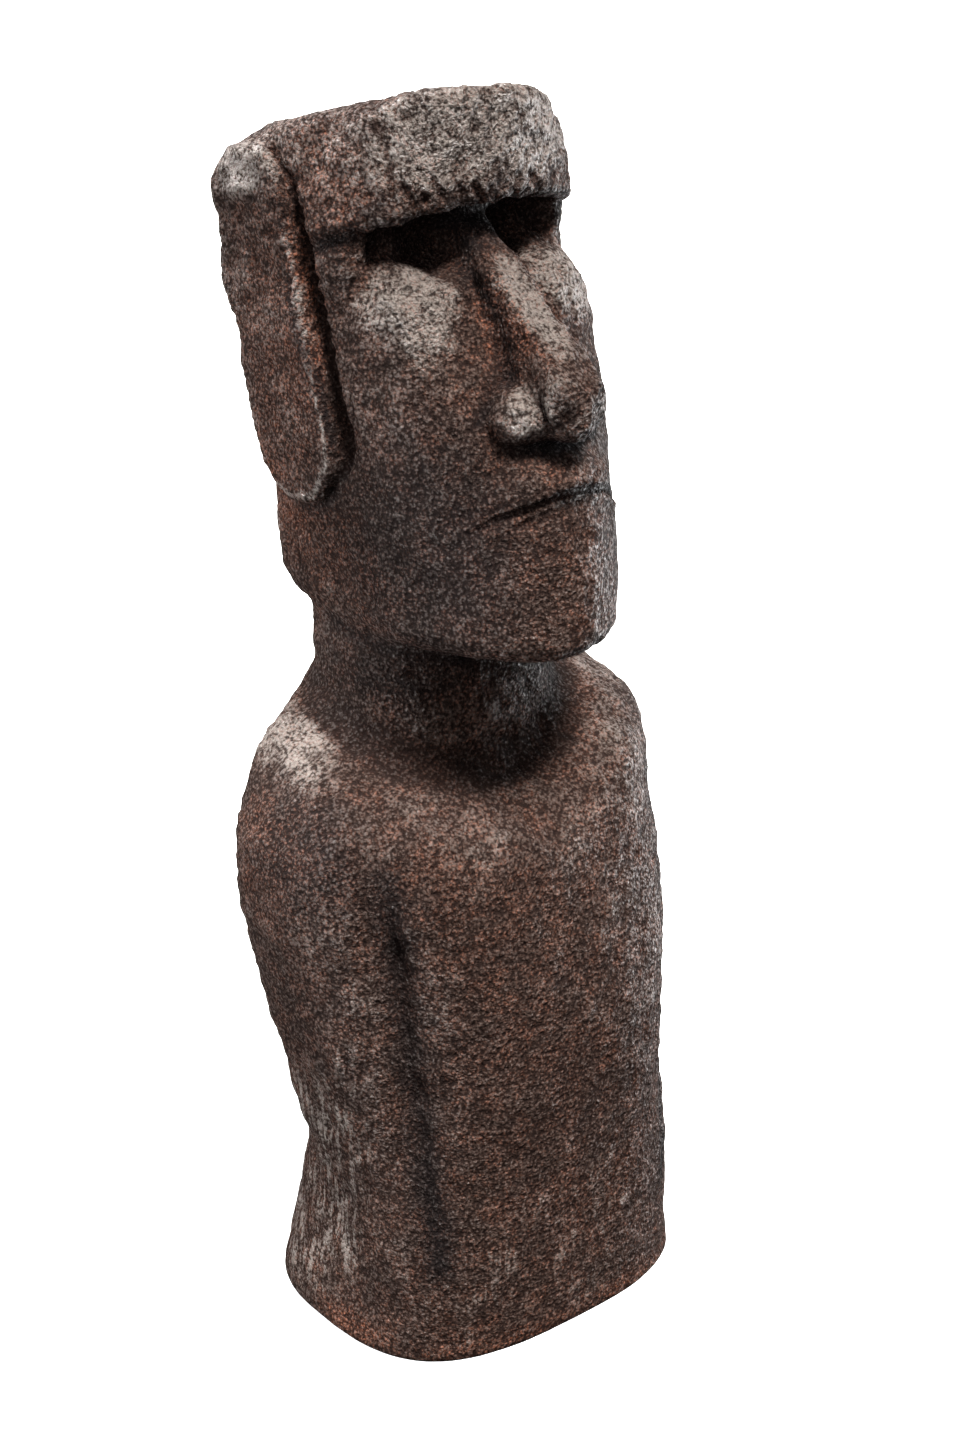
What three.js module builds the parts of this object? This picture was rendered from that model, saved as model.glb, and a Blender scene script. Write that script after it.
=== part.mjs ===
import * as THREE from 'three';

// A standing figure in the manner of an Easter Island ancestor statue: long head, arms at the sides,
// cut flat at the hips. Cast in one piece. Millimetres, +Z up, the face looks along -Y.

// body
const figureHeight = 796;
const hipHeight = 150;            // the hips flare out to the base below this
const baseHalfWidth = 130;
const waistHalfWidth = 109;
const chestHalfWidth = 119;
const bellyFront = -106;
const chestSetBack = 30;          // how far the breast lies behind the belly
const smallOfBack = 78;
const baseBack = 104;
const shoulderBlades = 108;

// shoulders and neck
const shoulderSpring = 296;       // the shoulders start to close in above this
const shoulderHalfWidth = 154;
const shoulderRise = 146;
const neckHalfWidth = 72;
const neckFront = -27;
const neckBack = 104;
const collarFront = 354;
const collarSlope = 0.60;         // the collar climbs towards the nape
const shoulderTilt = 0.12;        // the left shoulder is carried higher

// arms
const armRoot = 84;
const armOutTop = 148;
const armOutLow = 118;
const elbowHeight = 150;
const wristHeight = 55;
const upperArmFront = -44;
const upperArmBack = 93;
const forearmSweep = 92;          // how far the back of the forearm comes forward

// head
const jawLine = 474;
const chinFront = -104;
const faceLean = 107;             // the brow lies this far behind the chin
const faceHeight = 229;
const napeBack = 133;
const jawHalfWidth = 78;
const templeHalfWidth = 90;
const throatDrop = 24;            // the underside of the jaw falls this far to the neck

// brow
const browFront = -23;
const browLine = 728;
const browDroop = 17;
const crownSlope = 0.28;
const crownLean = 0.05;           // the crown falls a little towards its left side

// nose, mouth, eyes and ears
const noseRoot = { y: -12, z: 706 };
const noseLength = 118;
const noseDown = { y: -0.79, z: -0.613 };
const nostril = { x: 22, y: -65, z: 615, r: 18 };
const mouthLine = 572;
const mouthDroop = 22;
const mouthHalfWidth = 56;
const earTop = { y: 90, z: 723 };
const earTip = { y: 56, z: 588 };
const earRadius = 36;
const earOut = 98;

// facets
const columns = 76;
const bodyRings = 18;
const headRings = 39;
const crownRings = 8;
const settlings = 5;               // passes that even the facets out over the skin
const crownStart = 742;

const clamp = (t, a = 0, b = 1) => Math.min(Math.max(t, a), b);
const mix = (a, b, t) => a + (b - a) * t;
const ease = (a, b, t) => {
  const s = clamp((t - a) / (b - a));
  return s * s * (3 - 2 * s);
};
const bell = (t, c, w) => Math.exp(-(((t - c) / w) ** 2));

// soft join and soft cut of two fields, k is the fillet
const join = (a, b, k) => {
  const h = clamp(0.5 + 0.5 * (b - a) / k);
  return mix(b, a, h) - k * h * (1 - h);
};
const cut = (a, b, k) => -join(-a, -b, k);

function ball(x, y, z, c, r) {
  const u = x - c[0];
  const v = y - c[1];
  const w = z - c[2];
  const near = Math.hypot(u / r[0], v / r[1], w / r[2]);
  const steep = Math.hypot(u / r[0] ** 2, v / r[1] ** 2, w / r[2] ** 2);
  return near * (near - 1) / Math.max(steep, 1e-6);
}

function rod(x, y, z, a, b, ra, rb) {
  const d = [b[0] - a[0], b[1] - a[1], b[2] - a[2]];
  const along = (x - a[0]) * d[0] + (y - a[1]) * d[1] + (z - a[2]) * d[2];
  const t = clamp(along / (d[0] ** 2 + d[1] ** 2 + d[2] ** 2));
  return Math.hypot(x - a[0] - t * d[0], y - a[1] - t * d[1], z - a[2] - t * d[2]) - mix(ra, rb, t);
}

// rounded outline in plan, with its own squareness at the front and at the back
function outline(x, y, w, front, back, nFront, nBack) {
  const mid = (front + back) / 2;
  const d = (back - front) / 2;
  const n = mix(nFront, nBack, ease(-0.5, 0.5, (y - mid) / d));
  const u = Math.abs(x) / w;
  const v = Math.abs(y - mid) / d;
  const q = Math.max(u ** n + v ** n, 1e-6) ** (1 / n);
  const g = Math.hypot(u ** (n - 1) / w, v ** (n - 1) / d) / q ** (n - 1);
  return Math.max((q - 1) / Math.max(g, 0.3 / Math.max(w, d)), -0.7 * Math.min(w, d));
}

function torso(x, y, z) {
  const hip = clamp(1 - z / hipHeight) ** 1.1;
  const front = bellyFront + chestSetBack * clamp((z - 170) / 180) ** 2;
  const back = mix(smallOfBack, baseBack, hip) + (shoulderBlades - smallOfBack) * ease(130, 300, z);
  const chest = (chestHalfWidth - waistHalfWidth) * ease(200, 310, z);
  const w = mix(waistHalfWidth, baseHalfWidth, hip) + chest;
  return outline(x - 4 * bell(z, 240, 80), y, w, front, back, 2.9, 2.7);
}

function arms(x, y, z) {
  const low = clamp((elbowHeight - z) / (elbowHeight - wristHeight));
  const front = upperArmFront - 34 * clamp((320 - z) / 230);
  const back = upperArmBack - 26 * ease(290, 150, z) - forearmSweep * low ** 1.2;
  let out = mix(armOutLow, armOutTop, ease(60, 310, z));
  out += (0.5 - 9 * Math.sign(x)) * bell(z, 350, 55) - 2 * bell(z, 190, 60) * ease(0, -60, x);
  const f = outline(Math.abs(x) - armRoot, y, out - armRoot, front, back, 2.3, 2.2);
  return cut(f, 34 - z, 30);
}

function armGroove(x, y, z) {
  const a = Math.abs(x);
  const top = rod(a, y, z, [111, -50, 334], [107, -56, 285], 3, 8);
  const mid = rod(a, y, z, [107, -56, 285], [103, -68, 190], 8, 7);
  const low = rod(a, y, z, [103, -68, 190], [96, -86, 80], 7, 3);
  return Math.min(top, mid, low);
}

function shoulders(x, y, z) {
  const level = z - shoulderTilt * x;
  const up = Math.max(level - shoulderSpring, 0) / shoulderRise;
  const u = Math.abs(x) / shoulderHalfWidth;
  const v = Math.abs(y - 30) / 200;
  const dome = ((u ** 2.1 + v ** 2.1 + up ** 2.1 + 1e-9) ** (1 / 2.1) - 1) * 138;
  const collar = collarFront + collarSlope * (y + 60) + 0.16 * Math.hypot(x, 30);
  return cut(dome, (level - collar) * 0.85, 50);
}

function neck(x, y, z) {
  const f = outline(x, y, neckHalfWidth, neckFront, neckBack, 2.3, 2.8);
  return cut(f, Math.max(z - 520, 330 - z), 10);
}

const mouthHeight = x => mouthLine - mouthDroop * (x / 54) ** 2;

function face(x, y, z) {
  const a = Math.abs(x);
  const front = chinFront + faceLean * clamp((z - jawLine) / faceHeight) ** 2.15;
  let w = mix(jawHalfWidth, templeHalfWidth, ease(470, 650, z)) + 3 * ease(0, 70, y) * ease(650, 560, z);
  w += 6 * bell(z, 628, 28) * ease(0, 60, x);
  let f = outline(x, y, w, front, napeBack, mix(2.0, 2.3, ease(560, 680, z)), 3.4);
  const throat = throatDrop * clamp(-f / 70);
  f = cut(f, jawLine - throat - z, mix(10, 22, ease(-50, 60, y)));
  f = join(f, ball(a, y, z, [46, 0, 656], [34, 30, 38]), 14);                    // cheeks
  const temple = x > 0 ? [67, 30, 704] : [77, 37, 704];
  f = join(f, ball(a, y, z, temple, [13, 26, 44]), 8);
  const lip = cut(ball(x, y, z, [0, -60, 571], [45, 38, 24]), mouthHeight(x) - z, 4);
  return join(f, lip, 9);
}

function sockets(x, y, z) {
  const a = x > 0 ? 1.2 * x : -x;                                                // the left eye is narrower
  const wide = ball(a, y, z, [44, -14, 707], [38, 31, 21]);
  const inner = ball(a, y, z, [30, -4, 703], [17, 24, 15]);
  return cut(join(wide, inner, 10), -ball(a, y, z, [58, 25, 701], [20, 16, 12]), 5);
}

function brow(x, y, z) {
  const left = ease(0, 60, x);
  const w = templeHalfWidth + 4 * left - (14 + 10 * left) * ease(715, 800, z);
  const f = outline(x, y, w, browFront, napeBack + 2, 2.4, 3.4);
  return cut(f, browLine - browDroop * (x / 88) ** 2 - z, 7);
}

function crown(x, y, z) {
  const corner = (5 + 42 * ease(0, 88, x)) * clamp(Math.abs(x) / 88) ** 2.4;
  return (z - (figureHeight - crownSlope * (y + 20) - crownLean * x - corner)) * 0.95;
}

function nose(x, y, z) {
  const a = Math.abs(x);
  const down = (y - noseRoot.y) * noseDown.y + (z - noseRoot.z) * noseDown.z;
  const off = (y - noseRoot.y) * noseDown.z - (z - noseRoot.z) * noseDown.y;
  const t = clamp(down / 120);
  const half = mix(11, 16, t) - mix(0.13, 0.24, t) * off;
  let f = cut((a - half) * 0.95, off, 8);
  f = cut(f, down - noseLength, 8);
  f = cut(f, -off - 60, 5);
  f = cut(f, -down - 24, 8);
  f = join(f, ball(x, y, z, [0, -82, 619], [18, 21, 19]), 6);
  f = cut(f, 600 - z, 5);
  const wing = ball(a, y, z, [nostril.x, nostril.y, nostril.z], [nostril.r, nostril.r + 1, nostril.r]);
  return join(f, cut(wing, 597 - z, 5), 3);
}

// distance inside or outside the long flat ear, seen from the side
function earShape(y, z) {
  const dy = earTip.y - earTop.y;
  const dz = earTip.z - earTop.z;
  const t = clamp(((y - earTop.y) * dy + (z - earTop.z) * dz) / (dy * dy + dz * dz));
  const across = y - earTop.y - t * dy;
  const r = earRadius + 4.5 * t + 9 * bell(t, 0.25, 0.13) * ease(0, 15, across);
  return { edge: Math.hypot(across, z - earTop.z - t * dz) - r, across };
}

function ears(x, y, z) {
  const a = Math.abs(x);
  const out = earOut + 3 * ease(690, 740, z) - 2 * ease(640, 560, z);
  return cut(cut(earShape(y, z).edge, a - out, 9), 70 - a, 5);
}

function earGroove(x, y, z) {
  const { edge, across } = earShape(y, z);
  const width = 5 * ease(-10, 10, -across) * ease(760, 700, z) * ease(545, 600, z);
  return Math.hypot(edge - 3, (Math.abs(x) - 89) * 0.5) - width;
}

function bodyField(x, y, z) {
  let body = join(torso(x, y, z), arms(x, y, z), 14);
  body = cut(body, shoulders(x, y, z), 20);
  body = cut(body, -armGroove(x, y, z), 8);
  return join(body, neck(x, y, z), 16);
}

function headField(x, y, z) {
  let head = cut(face(x, y, z), -sockets(x, y, z), 7);
  head = join(head, brow(x, y, z), 4);
  head = join(head, nose(x, y, z), 3);
  const lips = ease(mouthHalfWidth + 4, mouthHalfWidth - 10, Math.abs(x)) * ease(0, -30, y);
  const above = z - mouthHeight(x);
  head += lips * (2.6 * bell(above, 0, 4) - 1.2 * bell(above, -7, 4));
  head = join(head, ears(x, y, z), 3);
  head = cut(head, -earGroove(x, y, z), 4);
  return cut(head, crown(x, y, z), 12);
}

function figure(x, y, z) {
  if (z > 540) return headField(x, y, z);
  if (z < 420) return bodyField(x, y, z);
  return join(bodyField(x, y, z), headField(x, y, z), 8);
}

// walk in from outside along a ray and settle on the skin
function skin(from, dir) {
  let far = 240;
  let near = 0;
  for (let r = far; r > 0; r -= 3) {
    if (figure(from.x + dir.x * r, from.y + dir.y * r, from.z + dir.z * r) < 0) {
      near = r;
      far = r + 3;
      break;
    }
  }
  for (let i = 0; i < 16; i++) {
    const r = (near + far) / 2;
    if (figure(from.x + dir.x * r, from.y + dir.y * r, from.z + dir.z * r) < 0) near = r;
    else far = r;
  }
  return from.clone().addScaledVector(dir, near);
}

// bring a point back on to the skin along the steepest way
function settle(p) {
  for (let i = 0; i < 2; i++) {
    const f = figure(p.x, p.y, p.z);
    const g = new THREE.Vector3(
      figure(p.x + 0.5, p.y, p.z) - f,
      figure(p.x, p.y + 0.5, p.z) - f,
      figure(p.x, p.y, p.z + 0.5) - f
    ).multiplyScalar(2);
    p.addScaledVector(g, -f / Math.max(g.lengthSq(), 0.3));
  }
  return p;
}

// one ring of the figure: rings lie level up the body, tip back with the crown, then fan up to the pole
function ringAt(k) {
  const level = k < bodyRings + headRings;
  let z = mix(0, jawLine - throatDrop, k / bodyRings);
  if (k >= bodyRings) z = mix(jawLine - throatDrop, crownStart, (k - bodyRings) / headRings);
  if (!level) z = crownStart;
  const lift = level ? 0 : (k - bodyRings - headRings) / crownRings * Math.PI / 2;
  const tip = Math.atan(crownSlope) * ease(600, crownStart, z);
  const centreY = mix(30 * ease(60, 330, z), 50, ease(500, 700, z));
  const bend = 14 * bell(z, mouthLine - 12, 50);
  const ring = [];
  for (let i = 0; i < columns; i++) {
    const turn = i / columns * 2 * Math.PI;
    const a = turn - 0.35 * Math.sin(turn) - Math.PI / 2;
    const flat = new THREE.Vector3(Math.cos(a), Math.sin(a) * Math.cos(tip), -Math.sin(a) * Math.sin(tip));
    const up = new THREE.Vector3(0, Math.sin(tip), Math.cos(tip));
    const dir = flat.multiplyScalar(Math.cos(lift)).addScaledVector(up, Math.sin(lift));
    const from = new THREE.Vector3(0, centreY, z - bend * Math.cos(a) ** 2);
    ring.push(skin(from, dir));
  }
  return ring;
}

function figureGeometry() {
  const points = [];
  const faces = [];
  const rings = bodyRings + headRings + crownRings;
  for (let k = 0; k < rings; k++) points.push(...ringAt(k));
  for (let pass = 0; pass < settlings; pass++) {
    const old = points.map(p => p.clone());
    for (let k = 1; k < rings - 1; k++) {
      for (let i = 0; i < columns; i++) {
        const p = points[k * columns + i];
        const beside = [(i + 1) % columns, (i + columns - 1) % columns];
        const round = old[k * columns + beside[0]].clone().add(old[k * columns + beside[1]]);
        round.add(old[(k - 1) * columns + i]).add(old[(k + 1) * columns + i]);
        settle(p.lerp(round.multiplyScalar(0.25), 0.5));
      }
    }
  }
  for (let k = 0; k + 1 < rings; k++) {
    for (let i = 0; i < columns; i++) {
      const a = k * columns + i;
      const b = k * columns + (i + 1) % columns;
      // split each facet along its shorter diagonal
      if (points[a].distanceTo(points[b + columns]) < points[b].distanceTo(points[a + columns])) {
        faces.push(a, b, b + columns, a, b + columns, a + columns);
      } else {
        faces.push(a, b, a + columns, b, b + columns, a + columns);
      }
    }
  }
  const tip = Math.atan(crownSlope);
  const heart = new THREE.Vector3(0, 50, crownStart);
  const pole = points.push(skin(heart, new THREE.Vector3(0, Math.sin(tip), Math.cos(tip)))) - 1;
  const sole = points.push(new THREE.Vector3(0, 0, 0)) - 1;
  const last = (rings - 1) * columns;
  for (let i = 0; i < columns; i++) {
    const j = (i + 1) % columns;
    faces.push(last + i, last + j, pole, j, i, sole);
  }
  const geometry = new THREE.BufferGeometry();
  const flat = points.flatMap(p => [p.x, p.y, p.z]);
  geometry.setAttribute('position', new THREE.Float32BufferAttribute(flat, 3));
  geometry.setIndex(faces);
  geometry.computeVertexNormals();
  return geometry;
}

const stone = new THREE.MeshStandardMaterial({ color: 0x4a3430, roughness: 0.7, metalness: 0 });
const moaiFigure = new THREE.Mesh(figureGeometry(), stone);
moaiFigure.name = 'moai_figure';

const statue = new THREE.Group();
statue.name = 'moai_statue';
statue.add(moaiFigure);
export default statue;
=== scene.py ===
import math

import bpy
import numpy as np
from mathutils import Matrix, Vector


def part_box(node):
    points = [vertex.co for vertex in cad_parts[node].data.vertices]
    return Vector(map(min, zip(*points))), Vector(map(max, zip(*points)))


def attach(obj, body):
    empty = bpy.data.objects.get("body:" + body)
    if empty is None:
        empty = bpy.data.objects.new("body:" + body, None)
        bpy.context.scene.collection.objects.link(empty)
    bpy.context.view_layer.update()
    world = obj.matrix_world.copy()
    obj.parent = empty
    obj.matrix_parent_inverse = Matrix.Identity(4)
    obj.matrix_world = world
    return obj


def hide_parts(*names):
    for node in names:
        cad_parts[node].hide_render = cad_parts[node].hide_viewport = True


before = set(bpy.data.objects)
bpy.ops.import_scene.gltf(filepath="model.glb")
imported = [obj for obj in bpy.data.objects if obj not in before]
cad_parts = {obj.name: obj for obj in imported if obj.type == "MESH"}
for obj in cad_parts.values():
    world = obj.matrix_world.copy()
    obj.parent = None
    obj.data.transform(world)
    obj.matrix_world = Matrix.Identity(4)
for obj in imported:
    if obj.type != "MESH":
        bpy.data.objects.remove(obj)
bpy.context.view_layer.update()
low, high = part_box("moai_figure")
drawnHeight = 793.15  # the form below is drawn in millimetres, this tall
unit = (high[2] - low[2]) / drawnHeight
print("frame loaded, one drawn millimetre is", round(unit * 1000, 4), "mm")


# ---- camera, lights and floor

def fromAround(target, azimuth, elevation, distance):
    a, e = math.radians(azimuth), math.radians(elevation)
    way = Vector((math.sin(a) * math.cos(e), -math.cos(a) * math.cos(e), math.sin(e)))
    return Vector(target) + way * distance


def aimAt(thing, target):
    thing.rotation_mode = "QUATERNION"
    thing.rotation_quaternion = (Vector(target) - thing.location).to_track_quat("-Z", "Y")


view = {  # target and distance in drawn millimetres
    "target": (-33.6, -47.25, 420), "round": -39, "up": 23.4, "away": 1560.3,
    "lens": 63.98, "sensor": 36,
}
studio = {  # kind, round from the front, up, away, strength, tint, angle or sides
    "key": ("SUN", -4, 66, 3, 12, (1.0, 0.985, 0.965), 16),
    "fill": ("SUN", -62, 14, 3, 1.5, (1.0, 1.0, 1.0), 50),
    "hair": ("AREA", -165, 50, 1.3, 27, (1.0, 1.0, 1.0), (0.5, 0.5)),
    "leftEdge": ("AREA", -122, -14, 0.95, 12, (0.98, 0.99, 1.0), (0.35, 0.45)),
    "rightEdge": ("AREA", 88, -10, 1.25, 21, (0.97, 0.985, 1.0), (0.4, 1.1)),
}
lampsAimAt = (0, 0, 430)
room = {"below": 0.06, "above": 0.30, "from": -0.3, "to": 0.7, "sweep": (1, 1, 1, 1)}
ground = {"size": 40, "paint": (0.86, 0.86, 0.86, 1), "rough": 0.9, "glow": 1.0}


def addCamera():
    data = bpy.data.cameras.new("camera")
    camera = bpy.data.objects.new("camera", data)
    bpy.context.scene.collection.objects.link(camera)
    target = Vector(view["target"]) * unit
    camera.location = fromAround(target, view["round"], view["up"], view["away"] * unit)
    aimAt(camera, target)
    data.sensor_width = view["sensor"]
    data.lens = view["lens"]
    bpy.context.scene.camera = camera


def addLamp(name, kind, azimuth, elevation, distance, power, tint, size):
    data = bpy.data.lights.new(name, kind)
    data.energy = power
    data.color = tint
    if kind == "SUN":
        data.angle = math.radians(size)
    else:
        data.shape = "RECTANGLE"
        data.size, data.size_y = size
    lamp = bpy.data.objects.new(name, data)
    bpy.context.scene.collection.objects.link(lamp)
    centre = Vector(lampsAimAt) * unit
    lamp.location = fromAround(centre, azimuth, elevation, distance)
    aimAt(lamp, centre)


def addRoomLight():  # pale walls and ceiling, a dark studio floor beyond the sweep
    world = bpy.data.worlds.new("studio")
    bpy.context.scene.world = world
    world.use_nodes = True
    tree = world.node_tree
    coords = tree.nodes.new("ShaderNodeTexCoord")
    split = tree.nodes.new("ShaderNodeSeparateXYZ")
    shade = tree.nodes.new("ShaderNodeMapRange")
    places = {"From Min": "from", "From Max": "to", "To Min": "below", "To Max": "above"}
    for socket, key in places.items():
        shade.inputs[socket].default_value = room[key]
    tree.links.new(coords.outputs["Generated"], split.inputs["Vector"])
    tree.links.new(split.outputs["Z"], shade.inputs["Value"])
    tree.links.new(shade.outputs["Result"], tree.nodes["Background"].inputs["Strength"])
    tree.nodes["Background"].inputs["Color"].default_value = (1, 1, 1, 1)
    sweep = tree.nodes.new("ShaderNodeBackground")  # the white sweep behind, seen but giving no light
    sweep.inputs["Color"].default_value = room["sweep"]
    choose = tree.nodes.new("ShaderNodeMixShader")
    path = tree.nodes.new("ShaderNodeLightPath")
    tree.links.new(path.outputs["Is Camera Ray"], choose.inputs[0])
    tree.links.new(tree.nodes["Background"].outputs[0], choose.inputs[1])
    tree.links.new(sweep.outputs[0], choose.inputs[2])
    tree.links.new(choose.outputs[0], tree.nodes["World Output"].inputs["Surface"])


def addFloor():
    bpy.ops.mesh.primitive_plane_add(size=ground["size"])
    floor = bpy.context.object
    floor.name = "floor"
    paint = bpy.data.materials.new("floor_paint")
    paint.use_nodes = True
    shader = paint.node_tree.nodes["Principled BSDF"]
    shader.inputs["Base Color"].default_value = ground["paint"]
    shader.inputs["Roughness"].default_value = ground["rough"]
    shader.inputs["Emission Color"].default_value = (1, 1, 1, 1)
    shader.inputs["Emission Strength"].default_value = ground["glow"]
    floor.data.materials.append(paint)
    floor.visible_diffuse = False  # its white doesn't fill the shadows under brow and jaw
    floor.visible_glossy = False


addCamera()
for name, lamp in studio.items():
    addLamp(name, *lamp)
addRoomLight()
addFloor()
bpy.context.scene.view_settings.view_transform = "Standard"  # keeps the whites plain
print("studio set")


# ---- helpers for the carved form, all in drawn millimetres, negative inside

def clamp(t, a=0.0, b=1.0):
    return np.clip(t, a, b)


def mix(a, b, t):
    return a + (b - a) * t


def ease(a, b, t):
    s = clamp((t - a) / (b - a))
    return s * s * (3 - 2 * s)


def bell(t, c, w):
    return np.exp(-(((t - c) / w) ** 2))


def join(a, b, k):  # soft union, k is the fillet
    h = clamp(0.5 + 0.5 * (b - a) / k)
    return mix(b, a, h) - k * h * (1 - h)


def cut(a, b, k):  # soft intersection
    return -join(-a, -b, k)


def length(*parts):
    return np.sqrt(sum(part * part for part in parts))


def ball(x, y, z, c, r):
    u, v, w = x - c[0], y - c[1], z - c[2]
    near = length(u / r[0], v / r[1], w / r[2])
    steep = length(u / r[0] ** 2, v / r[1] ** 2, w / r[2] ** 2)
    return near * (near - 1) / np.maximum(steep, 1e-6)


def rod(x, y, z, a, b, ra, rb):
    d = np.subtract(b, a)
    t = clamp(((x - a[0]) * d[0] + (y - a[1]) * d[1] + (z - a[2]) * d[2]) / (d @ d))
    return length(x - a[0] - t * d[0], y - a[1] - t * d[1], z - a[2] - t * d[2]) - mix(ra, rb, t)


def channel(x, y, z, points, radii):  # a groove's cutter along the points
    stretches = zip(points, points[1:], radii, radii[1:])
    return np.min([rod(x, y, z, *stretch) for stretch in stretches], 0)


def outline(x, y, w, front, back, nFront, nBack):  # rounded plan, its squareness set before and behind
    mid, d = (front + back) / 2, (back - front) / 2
    n = mix(nFront, nBack, ease(-0.5, 0.5, (y - mid) / d))
    u, v = np.abs(x) / w, np.abs(y - mid) / d
    q = np.maximum(u ** n + v ** n, 1e-6) ** (1 / n)
    g = length(u ** (n - 1) / w, v ** (n - 1) / d) / q ** (n - 1)
    edge = (q - 1) / np.maximum(g, 0.3 / np.maximum(w, d))
    return np.maximum(edge, -0.7 * np.minimum(w, d))


# ---- the figure's form

body = {  # a plan is its squareness before and behind
    "hip": 150, "baseHalf": 130, "waistHalf": 109, "chestHalf": 119, "plan": (2.9, 2.7), "sway": 4,
    "belly": -106, "setBack": 30, "smallOfBack": 78, "baseBack": 104, "blades": 108,
    "spring": 296, "shoulderHalf": 154, "shoulderRise": 146, "shoulderTilt": 0.12,
    "shoulderCentre": 30, "shoulderDeep": 200, "shoulderRound": 2.1, "shoulderScale": 138,
    "collar": 354, "collarSlope": 0.60, "collarFlare": 0.16,
    "neckHalf": 72, "neckFront": -27, "neckBack": 104, "neckPlan": (2.3, 2.8), "neckEnds": (330, 520),
    "armRoot": 84, "armOutTop": 148, "armOutLow": 118, "elbow": 150, "wrist": 55, "armEnd": 34,
    "armFront": -44, "forward": 34, "armBack": 93, "drawnIn": 26, "sweep": 92, "armPlan": (2.3, 2.2),
    "armUneven": 9,  # the left upper arm lies this much closer, the right one further out
    "groove": ((111, -50, 334), (107, -56, 285), (103, -68, 190), (96, -86, 80)),
    "grooveHalf": (3, 8, 7, 3),
}
head = {  # a ball is its centre and three radii, on the right side where there are two
    "jaw": 474, "chin": -104, "lean": 107, "faceHeight": 229, "nape": 133, "napePlan": 3.4,
    "jawHalf": 78, "templeHalf": 90, "throat": 24, "leftFullness": 6,
    "cheek": ((46, 0, 656), (34, 30, 38)), "lip": ((0, -60, 571), (45, 38, 24)),
    "temple": ((77, 37, 704), (13, 26, 44)), "leftTemple": (67, 30, 704),
    "eye": ((44, -14, 710), (45, 31, 19)), "leftEyeHalf": 38, "leftEyeSqueeze": 1.2,
    "eyeTaper": 0.6, "taperFrom": 50,
    "eyeCorner": ((30, -4, 703), (17, 24, 15)), "lid": ((58, 25, 701), (20, 16, 12)),
    "brow": -23, "browLine": 728, "browDroop": 17, "browPlan": 2.4, "leftBrowOut": 4,
    "crown": 796, "crownSlope": 0.28, "crownLean": 0.05, "topHalf": 88,
    "cornerDrop": 5, "leftCornerDrop": 42, "sidesIn": 14, "leftSideIn": 10,
    "noseRoot": (-12, 706), "noseLength": 118, "noseDown": (-0.79, -0.613),
    "noseDeep": 60, "noseAbove": 24, "noseHalf": (11, 16), "noseSplay": (0.13, 0.24),
    "noseTip": ((0, -82, 619), (18, 21, 19)), "noseBase": 600,
    "wing": ((22, -65, 615), (18, 19, 18)), "wingBase": 597, "creaseHalf": 2.2,
    "wingCrease": ((17, -90, 598), (19, -90, 614), (20, -83, 630), (26, -70, 637),
                   (35, -60, 632), (41, -57, 617)),
    "mouth": 572, "mouthDroop": 22, "mouthHalf": 56, "mouthDepth": 3.4, "lipRise": 1.5,
    "earTop": (90, 723), "earTip": (56, 588), "earRadius": 36, "earIn": 70, "earOut": 98,
    "earSwell": 4.5, "earFlare": 9, "slotHalf": 6, "slotOut": 89,
}


def torso(x, y, z):
    hip = clamp(1 - z / body["hip"]) ** 1.1
    front = body["belly"] + body["setBack"] * clamp((z - 170) / 180) ** 2
    back = mix(body["smallOfBack"], body["baseBack"], hip)
    back = back + (body["blades"] - body["smallOfBack"]) * ease(130, 300, z)
    w = mix(body["waistHalf"], body["baseHalf"], hip)
    w = w + (body["chestHalf"] - body["waistHalf"]) * ease(200, 310, z)
    return outline(x - body["sway"] * bell(z, 240, 80), y, w, front, back, *body["plan"])


def arms(x, y, z):
    lower = clamp((body["elbow"] - z) / (body["elbow"] - body["wrist"]))
    front = body["armFront"] - body["forward"] * clamp((320 - z) / 230)
    back = body["armBack"] - body["drawnIn"] * ease(290, 150, z) - body["sweep"] * lower ** 1.2
    out = mix(body["armOutLow"], body["armOutTop"], ease(60, 310, z))
    out = out + (0.5 - body["armUneven"] * np.sign(x)) * bell(z, 350, 55)
    out = out - 2 * bell(z, 190, 60) * ease(0, -60, x)
    root = body["armRoot"]
    f = outline(np.abs(x) - root, y, out - root, front, back, *body["armPlan"])
    return cut(f, body["armEnd"] - z, 30)


def armGroove(x, y, z):
    return channel(np.abs(x), y, z, body["groove"], body["grooveHalf"])


def shoulders(x, y, z):
    z = z - body["shoulderTilt"] * x  # the left shoulder is carried higher
    up = np.maximum(z - body["spring"], 0) / body["shoulderRise"]
    u = np.abs(x) / body["shoulderHalf"]
    v = np.abs(y - body["shoulderCentre"]) / body["shoulderDeep"]
    n = body["shoulderRound"]
    dome = ((u ** n + v ** n + up ** n + 1e-9) ** (1 / n) - 1) * body["shoulderScale"]
    collar = body["collar"] + body["collarSlope"] * (y + 60) + body["collarFlare"] * length(x, 30)
    return cut(dome, (z - collar) * 0.85, 50)


def neck(x, y, z):
    f = outline(x, y, body["neckHalf"], body["neckFront"], body["neckBack"], *body["neckPlan"])
    foot, top = body["neckEnds"]
    return cut(f, np.maximum(z - top, foot - z), 10)


def mouthHeight(x):
    return head["mouth"] - head["mouthDroop"] * (x / 54) ** 2


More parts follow.
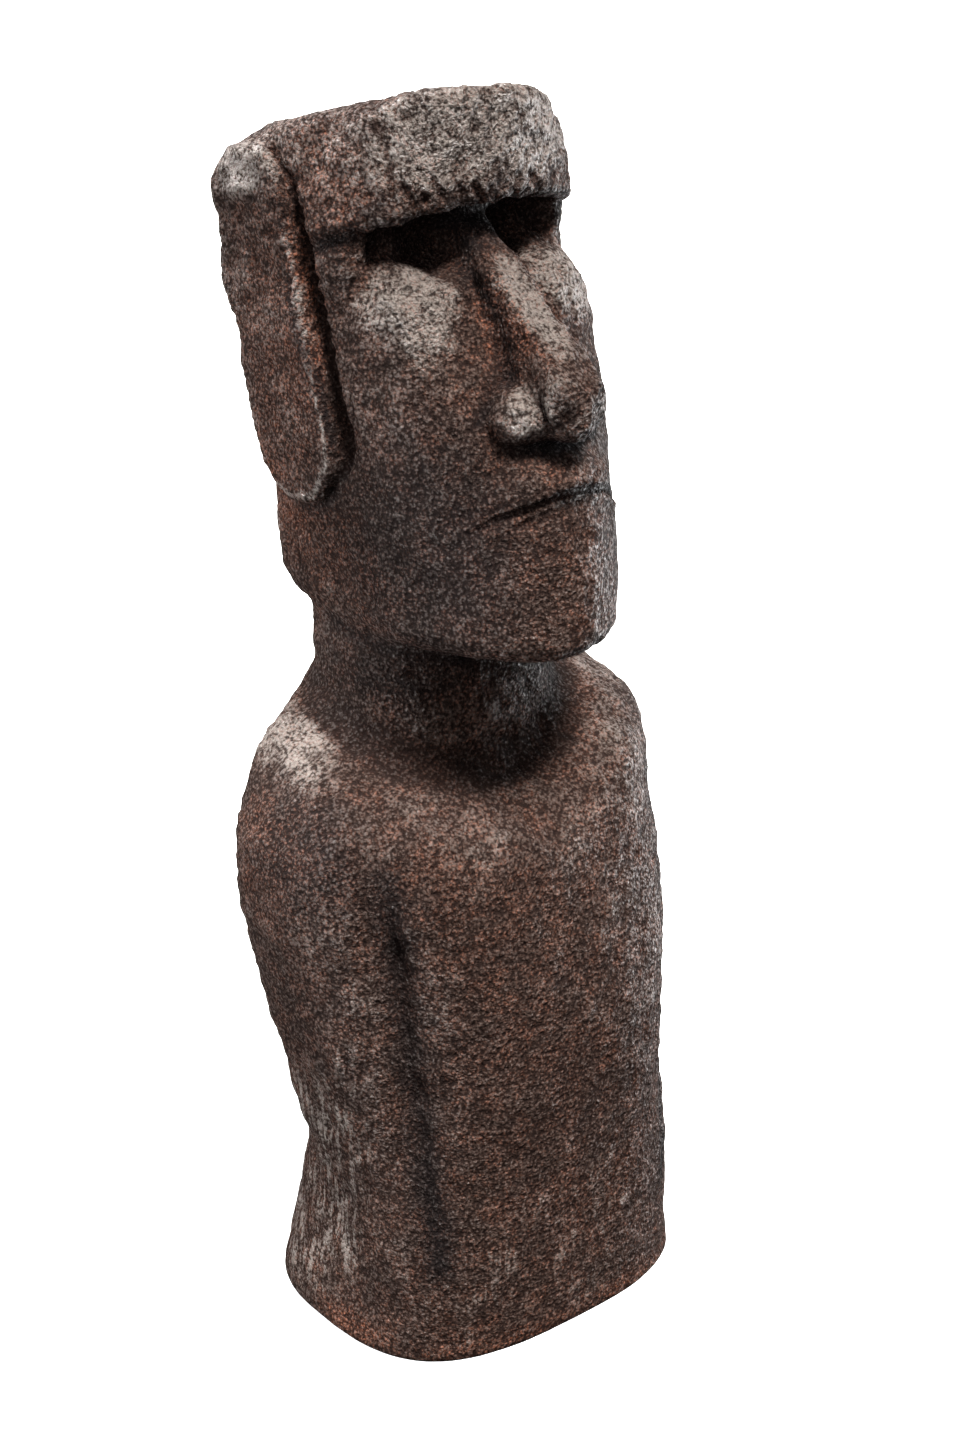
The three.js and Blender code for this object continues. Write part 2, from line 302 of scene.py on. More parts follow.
def face(x, y, z):
    a = np.abs(x)
    front = head["chin"] + head["lean"] * clamp((z - head["jaw"]) / head["faceHeight"]) ** 2.15
    w = mix(head["jawHalf"], head["templeHalf"], ease(470, 650, z))
    w = w + 3 * ease(0, 70, y) * ease(650, 560, z)
    w = w + head["leftFullness"] * bell(z, 628, 28) * ease(0, 60, x)
    f = outline(x, y, w, front, head["nape"], mix(2.0, 2.3, ease(560, 680, z)), head["napePlan"])
    throat = head["throat"] * clamp(-f / 70)
    f = cut(f, head["jaw"] - throat - z, mix(10, 22, ease(-50, 60, y)))
    f = join(f, ball(a, y, z, *head["cheek"]), 14)
    centre, radii = head["temple"]
    centre = [np.where(x > 0, left, right) for left, right in zip(head["leftTemple"], centre)]
    f = join(f, ball(a, y, z, centre, radii), 8)  # flush with the brow
    lip = cut(ball(x, y, z, *head["lip"]), mouthHeight(x) - z, 4)
    return join(f, lip, 9)


def sockets(x, y, z):
    a = np.where(x > 0, head["leftEyeSqueeze"] * x, -x)  # the left eye is the narrower
    centre, (half, deep, tall) = head["eye"]
    half = np.where(x > 0, head["leftEyeHalf"], half)
    raised = head["eyeTaper"] * np.maximum(a - head["taperFrom"], 0)  # runs up under the brow's end
    f = join(ball(a, y, z - raised, centre, (half, deep, tall)), ball(a, y, z, *head["eyeCorner"]), 10)
    return cut(f, -ball(a, y, z, *head["lid"]), 5)


def brow(x, y, z):
    left = ease(0, 60, x)
    tapered = (head["sidesIn"] + head["leftSideIn"] * left) * ease(715, 800, z)
    w = head["templeHalf"] + head["leftBrowOut"] * left - tapered
    f = outline(x, y, w, head["brow"], head["nape"] + 2, head["browPlan"], head["napePlan"])
    return cut(f, head["browLine"] - head["browDroop"] * (x / head["topHalf"]) ** 2 - z, 7)


def crown(x, y, z):
    half = head["topHalf"]
    corner = head["cornerDrop"] + head["leftCornerDrop"] * ease(0, half, x)
    corner = corner * clamp(np.abs(x) / half) ** 2.4
    top = head["crown"] - head["crownSlope"] * (y + 20) - head["crownLean"] * x - corner
    return (z - top) * 0.95


def nose(x, y, z):
    a = np.abs(x)
    rootY, rootZ = head["noseRoot"]
    downY, downZ = head["noseDown"]
    down = (y - rootY) * downY + (z - rootZ) * downZ
    off = (y - rootY) * downZ - (z - rootZ) * downY
    t = clamp(down / 120)
    half = mix(*head["noseHalf"], t) - mix(*head["noseSplay"], t) * off
    f = cut((a - half) * 0.95, off, 5)
    f = cut(f, down - head["noseLength"], 8)
    f = cut(f, -off - head["noseDeep"], 5)
    f = cut(f, -down - head["noseAbove"], 8)
    f = join(f, ball(x, y, z, *head["noseTip"]), 6)
    f = cut(f, head["noseBase"] - z, 4)
    wing = ball(a, y, z, *head["wing"])
    f = join(f, cut(wing, head["wingBase"] - z, 3), 1.2)
    crease = channel(a, y, z, head["wingCrease"], [head["creaseHalf"]] * len(head["wingCrease"]))
    return cut(f, -crease, 2.5)


def earShape(y, z):
    topY, topZ = head["earTop"]
    dy, dz = head["earTip"][0] - topY, head["earTip"][1] - topZ
    t = clamp(((y - topY) * dy + (z - topZ) * dz) / (dy * dy + dz * dz))
    across = y - topY - t * dy
    r = head["earRadius"] + head["earSwell"] * t
    r = r + head["earFlare"] * bell(t, 0.25, 0.13) * ease(0, 15, across)
    return length(across, z - topZ - t * dz) - r, across


def ears(x, y, z):
    a = np.abs(x)
    edge, across = earShape(y, z)
    out = head["earOut"] + 3 * ease(690, 740, z) - 2 * ease(640, 560, z)
    return cut(cut(edge, a - out, 7), head["earIn"] - a, 5)


def earGroove(x, y, z):
    edge, across = earShape(y, z)
    width = head["slotHalf"] * ease(-10, 10, -across) * ease(760, 700, z) * ease(545, 600, z)
    return length(edge - 3, (np.abs(x) - head["slotOut"]) * 0.5) - width


def bodyField(x, y, z):
    f = join(torso(x, y, z), arms(x, y, z), 10)
    f = cut(f, shoulders(x, y, z), 20)
    f = cut(f, -armGroove(x, y, z), 4)
    return join(f, neck(x, y, z), 16)


def headField(x, y, z):
    f = cut(face(x, y, z), -sockets(x, y, z), 6)
    f = join(f, brow(x, y, z), 3)
    f = join(f, nose(x, y, z), 3)
    lips = ease(head["mouthHalf"] + 4, head["mouthHalf"] - 10, np.abs(x)) * ease(0, -30, y)
    above = z - mouthHeight(x)
    f = f + lips * (head["mouthDepth"] * bell(above, 0, 2.4) - head["lipRise"] * bell(above, -5, 3))
    f = join(f, ears(x, y, z), 2)
    f = cut(f, -earGroove(x, y, z), 3)
    return cut(f, crown(x, y, z), 10)


def figureField(p):
    x, y, z = p.T
    f = np.empty(len(z))
    lower, upper = z < 420, z > 540
    between = ~(lower | upper)
    f[lower] = bodyField(x[lower], y[lower], z[lower])
    f[upper] = headField(x[upper], y[upper], z[upper])
    mid = (x[between], y[between], z[between])
    f[between] = join(bodyField(*mid), headField(*mid), 8)
    return f


def slopeOf(p, f, step=0.4):
    return np.stack([(figureField(p + step * axis) - f) / step for axis in np.eye(3)], 1)


# ---- the skin: rings of points, level up the body, tipped back with the crown, then fanned to its pole

skin = {
    "columns": 320, "bodyRings": 122, "headRings": 146, "crownRings": 31,
    "firstRing": 2.0, "underJaw": 450, "crownStart": 742, "crowding": 0.42,
    "reach": 240.0, "stride": 4, "halvings": 11, "settlings": 20, "spreads": 14,
    "plainRings": 2, "clearance": 0.6,  # at the sole, which nothing reaches below
}


def castRays(origin, way):
    reach = np.full(len(origin), skin["reach"])
    out = np.arange(len(origin))
    while len(out) and reach[out].max() > 0:  # walk in until inside
        p = origin[out] + way[out] * reach[out, None]
        outside = figureField(p) > 0
        out = out[outside]
        reach[out] -= skin["stride"]
    near, far = reach, reach + skin["stride"]
    for halving in range(skin["halvings"]):
        r = (near + far) / 2
        inside = figureField(origin + way * r[:, None]) < 0
        near, far = np.where(inside, r, near), np.where(inside, far, r)
    return origin + way * near[:, None]


def ringRays():
    n, bodyN, headN, crownN = (skin[k] for k in ("columns", "bodyRings", "headRings", "crownRings"))
    k = np.arange(bodyN + headN + crownN)[:, None] + 0.0
    z = mix(skin["firstRing"], skin["underJaw"], k / bodyN)
    z = np.where(k >= bodyN, mix(skin["underJaw"], skin["crownStart"], (k - bodyN) / headN), z)
    z = np.minimum(z, skin["crownStart"])
    lift = np.maximum(k - bodyN - headN, 0) / crownN * math.pi / 2
    tip = math.atan(head["crownSlope"]) * ease(600, skin["crownStart"], z)
    centreY = mix(30 * ease(60, 330, z), 50, ease(500, 700, z))
    turn = np.arange(n)[None] / n * 2 * math.pi
    a = turn - skin["crowding"] * np.sin(turn) - math.pi / 2
    dropped = z - 14 * bell(z, head["mouth"] - 12, 50) * np.cos(a) ** 2
    origin = np.stack(np.broadcast_arrays(0 * a, centreY + 0 * a, dropped), -1)
    level = (np.cos(a), np.sin(a) * np.cos(tip), -np.sin(a) * np.sin(tip))
    upright = (0 * a, np.sin(tip) + 0 * a, np.cos(tip) + 0 * a)
    level, upright = (np.stack(np.broadcast_arrays(*parts), -1) for parts in (level, upright))
    way = level * np.cos(lift)[..., None] + upright * np.sin(lift)[..., None]
    return origin, way


def around(grid):  # mean of the four neighbours; the end rings keep their own
    side = np.roll(grid, 1, 1) + np.roll(grid, -1, 1)
    padded = np.concatenate([grid[:1], grid, grid[-1:]])
    return (side + padded[:-2] + padded[2:]) / 4


def settle(grid, passes):  # evens out the points and puts them back on the form
    for turn in range(passes):
        moved = mix(grid, around(grid), 0.5)
        moved[0, :, 2] = grid[0, :, 2]
        p = moved.reshape(-1, 3)
        f = figureField(p)
        g = slopeOf(p, f)
        p = p - g * (f / np.maximum((g * g).sum(1), 0.3))[:, None]
        fresh = p.reshape(grid.shape)
        grid = np.concatenate([grid[:1], fresh[1:-1], grid[-1:]])
    return grid


origin, way = ringRays()
rings = castRays(origin.reshape(-1, 3), way.reshape(-1, 3)).reshape(origin.shape)
rings = settle(rings, skin["settlings"])
print("skin laid,", rings.shape[0] * rings.shape[1], "points")


# ---- relief: what the trowel, the brush and the mould left

def hashed(cell, seed):
    h = cell[:, 0] * 73856093 ^ cell[:, 1] * 19349663 ^ cell[:, 2] * 83492791 ^ seed * 2654435
    h = h & 0xffffffff
    h = ((h ^ (h >> 15)) * 224682251) & 0xffffffff
    h = ((h ^ (h >> 13)) * 326648991) & 0xffffffff
    return ((h ^ (h >> 16)) & 0xffffff) / 0xffffff


def noise(p, size, seed):  # gradient noise, about -1 to 1
    q = p / size + 7.3 * seed
    c = np.floor(q).astype(np.int64)
    t = q - c
    s = t ** 3 * (t * (t * 6 - 15) + 10)
    total = np.zeros(len(p))
    for corner in np.ndindex(2, 2, 2):
        h = hashed(c + corner, seed)
        spin, rise = h * 2 * math.pi, (h * 61.7) % 1 * 2 - 1
        flat = np.sqrt(1 - rise * rise)
        d = t - corner
        pull = flat * np.cos(spin) * d[:, 0] + flat * np.sin(spin) * d[:, 1] + rise * d[:, 2]
        total += pull * np.where(corner, s, 1 - s).prod(1)
    return total * 1.7


def ridged(p, size, seed):
    return 1 - 2 * np.abs(noise(p, size, seed))


def pitted(p, cell, chance, size, seed):  # depth of scattered pits, each stretched its own way
    base = np.floor(p / cell).astype(np.int64)
    deep = np.zeros(len(p))
    for step in np.ndindex(3, 3, 3):
        c = base + np.subtract(step, 1)
        at = np.stack([hashed(c, seed + k) for k in range(3)], 1)
        d = p - (c + at) * cell
        lean = np.stack([hashed(c, seed + 3 + k) - 0.5 for k in range(3)], 1)
        lean /= np.linalg.norm(lean, axis=1, keepdims=True)
        along = (d * lean).sum(1)
        r = mix(size[0], size[1], hashed(c, seed + 6) ** 2)
        gap = np.sqrt(np.maximum((d * d).sum(1) - 0.75 * along ** 2, 0))
        there = hashed(c, seed + 7) < chance
        deep = np.maximum(deep, there * r * ease(1.0, 0.35, gap / r))
    return deep


def stroke(p, points, width):  # nearness to a line through the points, 1 on it
    best = np.full(len(p), 1e9)
    for a, b in zip(points, points[1:]):
        best = np.minimum(best, rod(p[:, 0], p[:, 1], p[:, 2], a, b, 0, 0))
    return bell(best, 0, width)


relief = {  # depth and size; the pits' sizes run between two
    "lumps": (1.3, 52), "dents": (1.1, 25), "clods": (1.4, 12), "grain": (0.9, 7.5),
    "strands": (0.55, 5.5),
    "pitCell": 21, "pitChance": 0.2, "pitSize": (1.6, 4.2), "pitDepth": 0.55,
    "torn": 1.5, "burr": 0.35, "seed": 11,
}
scratches = {  # points along the line, width, depth
    "forehead": (((-64, 11, 786), (-65, 3, 773), (-63, -3, 757), (-63, -5, 741)), 2.2, 1.3),
    "farBrow": (((24, -22, 742), (32, -20, 734), (36, -18, 727)), 2.4, 2.2),
    "browCut1": (((-59, -8, 744), (-54, -12, 736)), 1.9, 2.3),
    "browCut2": (((-50, -14, 741), (-46, -15, 734)), 1.9, 2.0),
    "browCut3": (((-43, -17, 745), (-37, -19, 736)), 1.9, 1.6),
    "browCut4": (((-30, -21, 743), (-24, -22, 736)), 1.9, 1.3),
    "browCut5": (((-18, -23, 741), (-11, -22, 731)), 1.9, 2.3),
    "browCut6": (((-7, -23, 737), (1, -21, 729)), 1.9, 2.0),
    "eyeTail": (((-79, 9, 712), (-84, 16, 711), (-88, 24, 709), (-90, 34, 706)), 5.0, 4.5),
    "nearBrowEnd": (((-77, 12, 738), (-80, 22, 722)), 2.2, 1.2),
    "jawCrack": (((-82, 73, 529), (-81, 73, 518), (-80, 74, 508), (-77, 72, 492)), 1.8, 1.4),
    "underEye": (((-60, -2, 683), (-44, -8, 676), (-33, -8, 680)), 2.0, 0.9),
    "upperLedge": (((-62, -55, 566), (-56, -62, 562), (-44, -76, 565), (-36, -84, 571)), 2.2, 0.7),
    "mouthCorner": (((-69, -46, 545), (-66, -51, 539), (-60, -60, 541)), 2.4, 0.6),
    "chinEdge": (((30, -92, 505), (31, -93, 488)), 2.2, 0.8),
}


def folded(p):  # both sides onto the left one
    return np.stack([np.abs(p[:, 0]), p[:, 1], p[:, 2]], 1)


def patches(p, spots):  # soft ellipsoids, the same on both sides
    best = np.zeros(len(p))
    for centre, radii, strength in spots:
        away = np.linalg.norm((folded(p) - centre) / radii, axis=1)
        best = np.maximum(best, strength * ease(1.25, 0.35, away))
    return best


wornAndSheen = [  # centre, radii, strength; grey rubbed wear, and painted sheen where the lamps glint on forehead, cheeks, nose and shoulders
    ((25, -15, 768), (75, 40, 40), 0.75), ((52, -8, 668), (34, 34, 34), 1.0),
    ((0, -50, 668), (16, 45, 45), 0.95), ((22, -78, 622), (18, 22, 18), 0.7),
    ((112, 45, 398), (46, 66, 36), 0.5), ((128, 5, 110), (26, 60, 110), 0.65),
    ((118, 55, 60), (30, 50, 80), 0.5), ((0, -100, 30), (130, 40, 80), 0.25),
    ((100, 95, 742), (12, 30, 22), 0.8), ((0, -88, 566), (50, 30, 8), 0.5),
    ((84, 22, 742), (14, 42, 42), 0.3),
]
paintedShade = [  # painted shade, near-black: eye sockets (over their own dark paint), nose root under the brow, under the nose, arm groove, under the jaw, lower face, upper arm; the first three are sheltered from the brush too
    ((34, -8, 706), (44, 26, 15), 1.0), ((0, 4, 716), (40, 22, 13), 1.0),
    ((0, -80, 598), (34, 24, 8), 1.0), ((107, -60, 300), (7, 16, 50), 0.8),
    ((103, -68, 200), (8, 14, 70), 0.7), ((97, -82, 110), (7, 12, 45), 0.6),
    ((50, 10, 440), (60, 60, 22), 0.5), ((55, -30, 535), (60, 80, 85), 0.6),
    ((130, 0, 341), (30, 55, 50), 0.5),
]
rusty = [
    ((16, -45, 660), (9, 30, 40), 0.9), ((93, 45, 660), (10, 22, 90), 0.8),
    ((140, 25, 330), (16, 50, 50), 0.35), ((88, 85, 545), (20, 45, 50), 1.0),
    ((70, 30, 510), (30, 60, 40), 0.35), ((124, -28, 8), (30, 30, 14), 0.9),
    ((60, -100, 6), (120, 40, 9), 0.4), ((86, 25, 745), (16, 50, 45), 0.5),
    ((98, 60, 650), (14, 50, 110), 0.4),
]
shadeLines = [  # painted shade, dark lines along creases and under edges on either side (nose and wing creases, ear slot, arm groove, under the jaw and the ear lobe, the eye's tail): width, strength
    (((17, -8, 694), (15, -27, 681), (17, -45, 665), (19, -58, 644), (23, -60, 634)), 7, 0.85),
    (((17, -90, 598), (19, -90, 614), (20, -83, 630), (26, -70, 637), (35, -60, 632),
      (43, -57, 612)), 3.5, 0.8),
    (((96, 58, 729), (95, 56, 712), (94, 55, 697), (97, 48, 673), (97, 38, 646), (93, 27, 623),
      (91, 18, 594), (87, 28, 560)), 4, 0.9),
    (((110, -50, 336), (107, -56, 285), (103, -68, 190), (96, -86, 70)), 11, 1.0),
    (((74, 45, 468), (66, 5, 462), (26, -24, 453)), 7, 0.7),
    (((79, 9, 712), (84, 16, 711), (88, 24, 709), (90, 32, 706)), 5, 0.9),
    (((91, 13, 568), (89, 30, 549), (87, 56, 541), (85, 84, 543)), 4.5, 0.9),
]
rubbedAndLitEdges = [  # edges painted bright on either side, rubbed wear and painted highlight where the lamps catch ear, shoulder and brow: width, strength
    (((97, 53, 712), (98, 39, 660), (97, 25, 612), (95, 20, 580), (95, 34, 557), (95, 56, 551),
      (95, 80, 556)), 2.6, 1.0),
    (((96, 122, 742), (98, 104, 757), (98, 80, 758), (97, 62, 740)), 5, 0.7),
    (((124, 42, 386), (109, 52, 399), (98, 52, 406)), 9, 0.75),
    (((72, -52, 729), (40, -24, 729)), 4, 0.4),
]


def lined(p, lines):
    return np.max([strength * stroke(folded(p), points, width) for points, width, strength in lines], 0)


def relieve(p, n, convex):  # depth along the normals, and masks for the finish
    seed = relief["seed"]
    x, y, z = p.T
    a = np.abs(x)
    smooth = bell(z, 505, 42) * ease(-20, -70, y)  # the chin was brushed
    smooth = np.maximum(smooth, ease(120, 20, z) * 0.55)
    sheltered = patches(p, paintedShade[:3])
    coarse = ease(640, 690, z) + 0.5 * ease(-20, -60, y) * ease(560, 620, z)
    coarse = clamp(coarse + 0.5 * bell(z, 330, 60) * ease(60, 110, a))
    rough = clamp(0.75 + 0.5 * coarse - 0.55 * smooth + 0.25 * noise(p, 70, seed + 1), 0.25, 1.5)
    names = ("lumps", "dents", "clods", "grain", "strands")
    lumps, dents, clods, grain, strands = (relief[name] for name in names)
    d = lumps[0] * noise(p, lumps[1], seed + 2)
    d = d + dents[0] * noise(p, dents[1], seed + 3)
    d = d + clods[0] * rough * noise(p, clods[1], seed + 4)
    d = d + grain[0] * rough * ridged(p, grain[1], seed + 5)
    brushed = ease(70, 105, a) * ease(330, 240, z) + smooth + 0.6 * ease(-10, 40, y) * ease(440, 400, z)
    drawnOut = p * (1, 1, 0.16) + 0.6 * noise(p, 30, seed + 7)[:, None] * 6
    d = d + strands[0] * clamp(brushed) * noise(drawnOut, strands[1], seed + 8)
    pits = pitted(p, relief["pitCell"], relief["pitChance"], relief["pitSize"], seed + 20)
    pits = pits * clamp(rough + 0.2 * noise(p, 60, seed + 9))
    d = d - relief["pitDepth"] * pits
    torn = ease(0.35, 1.4, convex) * clamp(0.5 + noise(p, 30, seed + 10))
    d = d - relief["torn"] * torn * clamp(0.25 + ridged(p, 8, seed + 11)) * ease(14, 30, z)
    marks = np.zeros(len(p))
    for points, width, deep in scratches.values():
        line = stroke(p + 1.2 * noise(p, 12, seed + 12)[:, None] * n, points, width)
        marks = np.maximum(marks, line * deep / 2)
        d = d - deep * line
        lip = stroke(p, points, width * 2.3) - line
        d = d + relief["burr"] * deep * lip
    d = d * (1 - 0.75 * sheltered)
    return d, clamp(pits / 2.5), clamp(marks), rough * (1 - 0.5 * sheltered)


def spread(grid, passes):
    for turn in range(passes):
        grid = mix(grid, around(grid), 0.8)
    return grid


flat = rings.reshape(-1, 3)
normals = slopeOf(flat, figureField(flat))
normals /= np.linalg.norm(normals, axis=1, keepdims=True)
bulge = ((rings - spread(rings, skin["spreads"])).reshape(-1, 3) * normals).sum(1)
bulge[: skin["columns"] * skin["plainRings"]] = 0
depth, pits, marks, rough = relieve(flat, normals, bulge)
depth = depth * ease(-2, 12, flat[:, 2])
carved = flat + normals * depth[:, None]
carved[:, 2] = np.maximum(carved[:, 2], skin["clearance"])
print("relief cut, from", round(depth.min(), 2), "to", round(depth.max(), 2), "mm")


# ---- mesh

def gridFaces(ringCount, n):
    k, i = np.meshgrid(np.arange(ringCount - 1), np.arange(n), indexing="ij")
    j = (i + 1) % n
    return np.stack([k * n + i, k * n + j, (k + 1) * n + j, (k + 1) * n + i], -1).reshape(-1, 4)


def buildSurface():
    n = skin["columns"]
    grid = carved.reshape(rings.shape)
    rim = grid[0].copy()
    foot = [rim * (1 - s, 1 - s, 0) for s in (0.012, 0.3, 0.65)]  # underside, flat on the ground
    allRings = np.concatenate([np.stack(foot[::-1]), grid])
    points = allRings.reshape(-1, 3)
    faces = gridFaces(len(allRings), n).tolist()
    last = (len(allRings) - 1) * n
    poles = np.array([(0, 0, 0), grid[-1].mean(0)])
    sole, top = len(points), len(points) + 1
    for i in range(n):
        j = (i + 1) % n
        faces.append((last + i, last + j, top))
        faces.append((j, i, sole))
    mesh = bpy.data.meshes.new("moai_surface")
    mesh.from_pydata((np.concatenate([points, poles]) * unit).tolist(), [], faces)
    mesh.polygons.foreach_set("use_smooth", np.ones(len(mesh.polygons), bool))
    pad = n * len(foot)
    layers = {
        "pit": pits, "mark": marks, "rough": rough, "bulge": bulge, "relief": depth,
        # the worn layer holds rubbed wear and painted sheen
        "wornAndSheen": np.maximum(patches(flat, wornAndSheen), lined(flat, rubbedAndLitEdges)),
        # the shade layer is painted shade: near-black spots and lines where shade falls
        "paintedShade": np.maximum(patches(flat, paintedShade), lined(flat, shadeLines)),
        "rusty": patches(flat, rusty),
    }
    for name, values in layers.items():
        full = np.concatenate([np.zeros(pad), values, np.zeros(len(poles))])
        mesh.attributes.new(name, "FLOAT", "POINT").data.foreach_set("value", full.astype(np.float32))
    mesh.update()
    return bpy.data.objects.new("moai_surface", mesh)


surface = buildSurface()
bpy.context.scene.collection.objects.link(surface)
print("mesh built,", sum(len(p.vertices) - 2 for p in surface.data.polygons), "triangles")


# ---- cast stone: dark brown body, rust in the hollows, grey dry-brushed with painted sheen on what stands proud, painted shade in pits, hollows, creases and under overhangs

patina = {
    # scales of the patterns
    "crumb": 400, "grain": 470, "speck": 620, "clod": 170, "mottle": 60, "patch": 15,
    "streak": 200, "streakStretch": (1, 1, 0.14),
    # shares of crumb, grain, clods, and wear with its painted sheen, in how high a point stands
    "crumbShare": 0.72, "grainShare": 0.26, "clodShare": 0.22, "wearAndSheenShare": 0.13,
    "bed": 0.51, "proud": 0.76, "bump": 0.0042, "bumpClods": 2.0,
    "strandsTop": 0.30, "strandsFull": 0.18,  # heights in metres
    "polishFrom": 0.58, "polishTo": 0.80, "roughness": (0.6, 0.32), "specular": (0.1, 1.0),
    # colours, and how far painted shade covers them in pits, hollows, creases and under overhangs
    "dark": (0.010, 0.0055, 0.0045), "brown": (0.058, 0.035, 0.027), "rust": (0.28, 0.096, 0.050),
    "greyWearAndSheen": (0.190, 0.158, 0.137), "shadeBlack": (0.005, 0.0042, 0.0045),
    "pitShade": 0.8, "hollowShade": 0.6, "shadeCover": 0.85,
}


def addNode(tree, kind, values=None, **settings):
    node = tree.nodes.new(kind)
    for name, value in settings.items():
        setattr(node, name, value)
    for name, value in (values or {}).items():
        if isinstance(value, bpy.types.NodeSocket):
            tree.links.new(value, node.inputs[name])
        elif isinstance(value, tuple) and node.inputs[name].type == "RGBA":
            node.inputs[name].default_value = (*value, 1)
        else:
            node.inputs[name].default_value = value
    return node


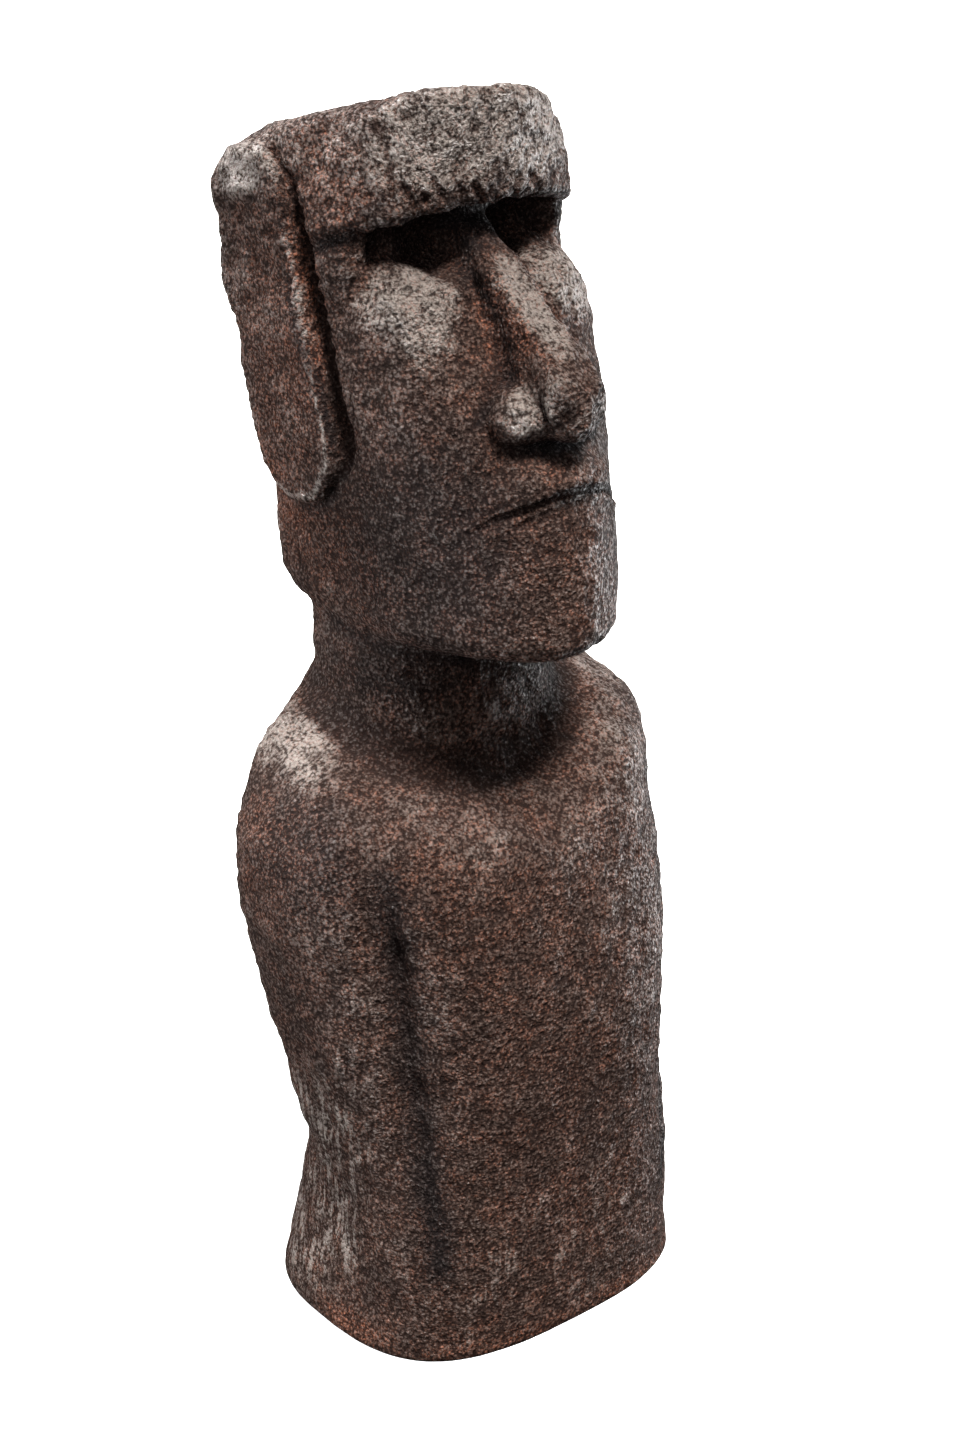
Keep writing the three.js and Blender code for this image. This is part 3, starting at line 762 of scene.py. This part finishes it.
def castStone():
    material = bpy.data.materials.new("cast_stone")
    material.use_nodes = True
    tree = material.node_tree
    shader = tree.nodes["Principled BSDF"]
    coords = addNode(tree, "ShaderNodeTexCoord").outputs["Object"]

    def texture(name, detail, roughness, where=coords):
        values = {"Vector": where, "Scale": patina[name], "Detail": detail, "Roughness": roughness}
        return addNode(tree, "ShaderNodeTexNoise", values).outputs["Fac"]

    def attribute(name):
        return addNode(tree, "ShaderNodeAttribute", attribute_name=name).outputs["Fac"]

    def step(value, a, b, lo=0.0, hi=1.0):
        values = {"Value": value, "From Min": a, "From Max": b, "To Min": lo, "To Max": hi}
        node = addNode(tree, "ShaderNodeMapRange", values, interpolation_type="SMOOTHSTEP")
        return node.outputs["Result"]

    def calc(kind, a, b):
        node = addNode(tree, "ShaderNodeMath", operation=kind)
        for k, value in enumerate((a, b)):
            if isinstance(value, bpy.types.NodeSocket):
                tree.links.new(value, node.inputs[k])
            else:
                node.inputs[k].default_value = value
        return node.outputs["Value"]

    def plus(*parts):
        total = parts[0]
        for part in parts[1:]:
            total = calc("ADD", total, part)
        return total

    def times(a, b):
        return calc("MULTIPLY", a, b)

    def capped(value, most=1.0):
        return calc("MINIMUM", value, most)

    def without(value):
        return calc("SUBTRACT", 1.0, value)

    def blend(a, b, t):
        node = addNode(tree, "ShaderNodeMix", data_type="RGBA")
        for k, value in ((0, t), (6, a), (7, b)):
            if isinstance(value, bpy.types.NodeSocket):
                tree.links.new(value, node.inputs[k])
            else:
                node.inputs[k].default_value = (*value, 1) if k else value
        return node.outputs[2]

    crumb = texture("crumb", 4.0, 0.65)
    speck = texture("speck", 2.0, 0.5)
    clod = texture("clod", 4.0, 0.6)
    mottle = texture("mottle", 4.0, 0.6)
    patch = texture("patch", 3.0, 0.55)
    stretch = {"Vector": coords, "Scale": patina["streakStretch"]}
    streak = texture("streak", 3.0, 0.6, addNode(tree, "ShaderNodeMapping", stretch).outputs["Vector"])
    cells = {"Vector": coords, "Scale": patina["grain"], "Randomness": 1.0}
    grain = without(addNode(tree, "ShaderNodeTexVoronoi", cells).outputs["Distance"])
    upward = addNode(tree, "ShaderNodeSeparateXYZ", {"Vector": coords}).outputs["Z"]
    pit, mark, bulged = attribute("pit"), attribute("mark"), attribute("bulge")
    coarse, cutDepth = attribute("rough"), attribute("relief")
    wornAndSheenArea, shadeArea, rustArea = attribute("wornAndSheen"), attribute("paintedShade"), attribute("rusty")

    height = plus(times(crumb, patina["crumbShare"]), times(grain, patina["grainShare"]))
    hollow = capped(plus(step(bulged, -0.1, -1.8), times(mark, 0.8)))
    proud = plus(times(step(bulged, 0.0, 1.3), 0.4), step(cutDepth, -0.8, 1.5, 0.0, 0.6))

    # where the brush and hands have been, and painted sheen where the lamps would glint
    ragged = plus(wornAndSheenArea, step(mottle, 0.30, 0.70, -0.25, 0.12))
    wearAndSheen = plus(step(patch, 0.38, 0.64, 0.0, 0.22), times(proud, 0.25))
    wearAndSheen = capped(plus(wearAndSheen, step(ragged, 0.0, 1.0, 0.0, 0.85)))
    wearAndSheen = times(wearAndSheen, step(clod, 0.34, 0.54, 0.6, 1.0))
    wearAndSheen = times(wearAndSheen, without(times(hollow, 0.9)))
    wearAndSheen = times(wearAndSheen, without(shadeArea))
    brushed = step(upward, patina["strandsTop"], patina["strandsFull"], 0.0, 0.8)
    wearAndSheen = times(wearAndSheen, without(times(brushed, step(streak, 0.56, 0.44))))

    # colour from the bottom coat up; the near-black bed between the grains is the dark base and partly
    # painted shade
    level = plus(height, times(wearAndSheen, patina["wearAndSheenShare"]), times(clod, patina["clodShare"]))
    raised = step(level, patina["bed"], patina["proud"], 0.06, 1.0)
    rust = times(step(speck, 0.53, 0.61), plus(step(mottle, 0.36, 0.62, 0.05, 0.36), rustArea))
    tint = plus(step(mottle, 0.4, 0.65, 0.0, 0.08), times(rustArea, 0.2))
    colour = blend(patina["brown"], patina["rust"], capped(plus(rust, tint), 0.9))
    # grey from rubbed wear, and painted sheen standing in for the lamps' glints
    rubbedAndSheen = times(step(wearAndSheen, 0.15, 0.75), step(speck, 0.62, 0.44, 0.45, 0.95))
    colour = blend(colour, patina["greyWearAndSheen"], rubbedAndSheen)
    # the bed between the grains goes near-black, partly painted shade for the grain's self-shadowing
    colour = blend(patina["dark"], colour, raised)
    # painted shade: darker in pits, concave hollows and cut marks
    pitAndHollowShade = plus(times(pit, patina["pitShade"]), times(hollow, patina["hollowShade"]))
    colour = blend(colour, patina["dark"], capped(pitAndHollowShade, 0.92))
    # painted shade: near-black under the brow, the nose and the jaw, in creases and down the arm groove
    colour = blend(colour, patina["shadeBlack"], times(shadeArea, patina["shadeCover"]))
    tree.links.new(colour, shader.inputs["Base Color"])

    # the tips of the grain are smoother than its bed
    ends = patina["polishFrom"], patina["polishTo"]
    tree.links.new(step(level, *ends, *patina["roughness"]), shader.inputs["Roughness"])
    shine = times(step(level, *ends, *patina["specular"]), step(wearAndSheen, 0.0, 0.8, 0.45, 1.0))
    tree.links.new(shine, shader.inputs["Specular IOR Level"])
    lift = plus(times(raised, 0.08), height, times(clod, patina["bumpClods"]))
    lift = times(lift, plus(0.35, times(coarse, 0.65)))
    heights = {"Height": lift, "Distance": patina["bump"], "Strength": 1.0}
    bump = addNode(tree, "ShaderNodeBump", heights)
    tree.links.new(bump.outputs["Normal"], shader.inputs["Normal"])
    return material


surface.data.materials.append(castStone())
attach(surface, "root")
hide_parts("moai_figure")
print("finish laid")
